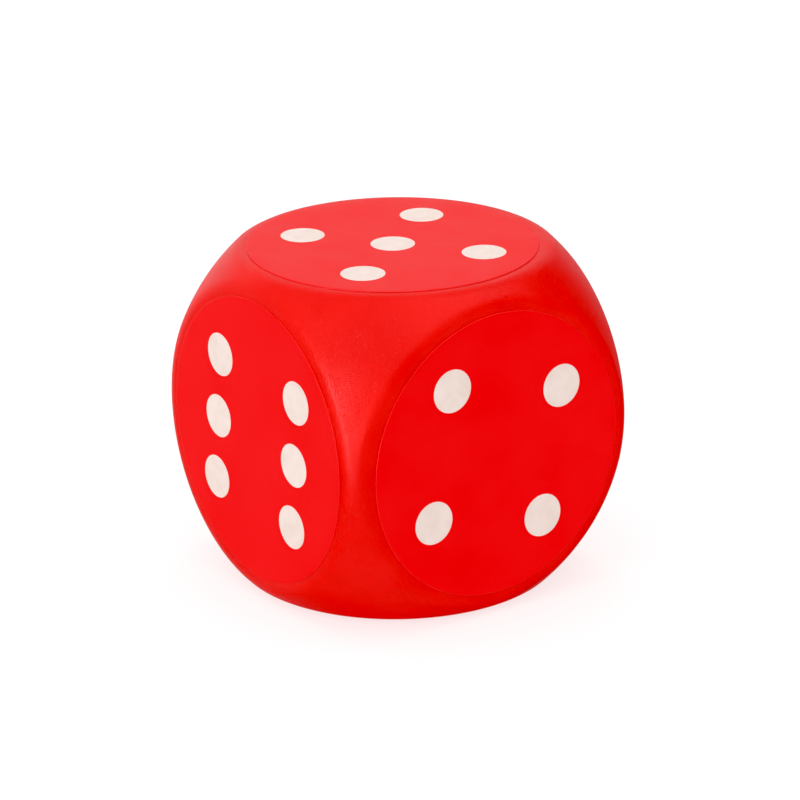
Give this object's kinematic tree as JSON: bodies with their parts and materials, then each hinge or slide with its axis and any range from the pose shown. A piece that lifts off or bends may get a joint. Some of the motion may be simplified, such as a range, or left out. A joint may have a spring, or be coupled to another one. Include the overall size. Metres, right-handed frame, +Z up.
{
  "type": "giant yard dice",
  "caption": "Oversized soft foam dice for lawn games: a cube with domed corners and a round flat on each side, each with a round red label and white pips.",
  "frame": {"origin": "middle of the square outline that the dice covers, on the surface it stands on", "axes": "+Z up, out of the label with five pips; +X out of the one with four; +Y out of the one with one"},
  "size_m": [0.201, 0.201, 0.201],
  "materials": {
    "core_foam": "moulded flexible polyurethane foam, closed in by the skin",
    "skin": "satin red polyurethane skin with a fine pitted grain",
    "adhesive": "clear pressure-sensitive adhesive",
    "label_vinyl": "red self-adhesive vinyl, satin",
    "pip_ink": "off-white screen-printing ink, satin"
  },
  "bodies": {
    "root": {"foam_core": "core_foam", "foam_skin": "skin", "label_1_adhesive": "adhesive", "label_1_vinyl": "label_vinyl", "label_1_pips": "pip_ink", "label_2_adhesive": "adhesive", "label_2_vinyl": "label_vinyl", "label_2_pips": "pip_ink", "label_3_adhesive": "adhesive", "label_3_vinyl": "label_vinyl", "label_3_pips": "pip_ink", "label_4_adhesive": "adhesive", "label_4_vinyl": "label_vinyl", "label_4_pips": "pip_ink", "label_5_adhesive": "adhesive", "label_5_vinyl": "label_vinyl", "label_5_pips": "pip_ink", "label_6_adhesive": "adhesive", "label_6_vinyl": "label_vinyl", "label_6_pips": "pip_ink"}
  },
  "joints": []
}
